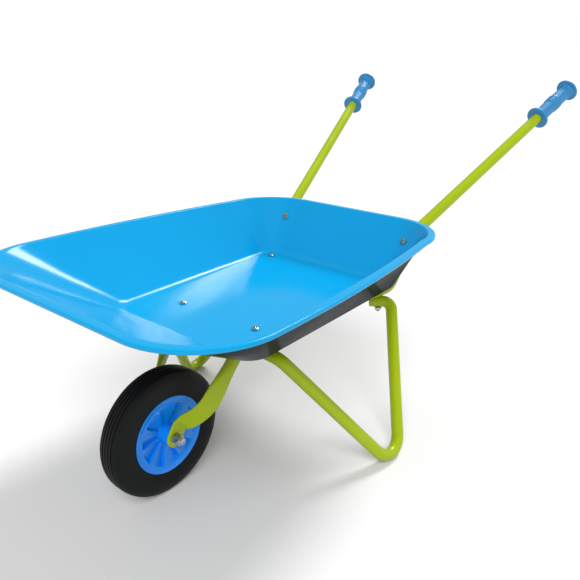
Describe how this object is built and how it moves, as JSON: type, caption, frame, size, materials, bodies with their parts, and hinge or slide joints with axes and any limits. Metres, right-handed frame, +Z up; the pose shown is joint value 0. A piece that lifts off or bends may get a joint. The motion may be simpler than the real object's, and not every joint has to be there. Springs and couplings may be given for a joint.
{
  "type": "wheelbarrow",
  "caption": "Child's wheelbarrow: pressed steel tray bolted to two bent tubes with a flattened fork, V-shaped tube legs, push-on grips and a solid-tyred plastic wheel that spins freely.",
  "frame": {"origin": "on the ground, under the middle of the barrow's overall length and width", "axes": "+X forward from the grips to the wheel, +Y to the user's left, +Z up"},
  "size_m": [0.8619, 0.4246, 0.4556],
  "materials": {
    "tray": "gloss enamel, sky blue inside and on the rim, dark grey outside",
    "frame": "gloss powder coat",
    "grip": "soft gloss moulding",
    "tyre": "matte solid rubber with ribbed tread",
    "wheel": "gloss moulding",
    "zinc": "bright zinc plating"
  },
  "bodies": {
    "barrow": {"tray": "tray", "frame_tube_left": "frame", "frame_tube_right": "frame", "leg_left": "frame", "leg_right": "frame", "grip_left": "grip", "grip_right": "grip", "axle_sleeve": "zinc", "axle_bolt": "zinc", "axle_nut": "zinc", "axle_washers": "zinc", "floor_bolts": "zinc", "floor_washers": "zinc", "floor_nuts": "zinc", "wall_bolts": "zinc", "wall_washers": "zinc", "wall_nuts": "zinc"},
    "wheel": {"tyre": "tyre", "wheel_half_left": "wheel", "wheel_half_right": "wheel"}
  },
  "joints": [
    {"name": "wheel_spin", "type": "hinge", "parent": "barrow", "child": "wheel", "pos_m": [0.31046, 0, 0.08], "axis": [0, 1, 0], "continuous": true}
  ]
}
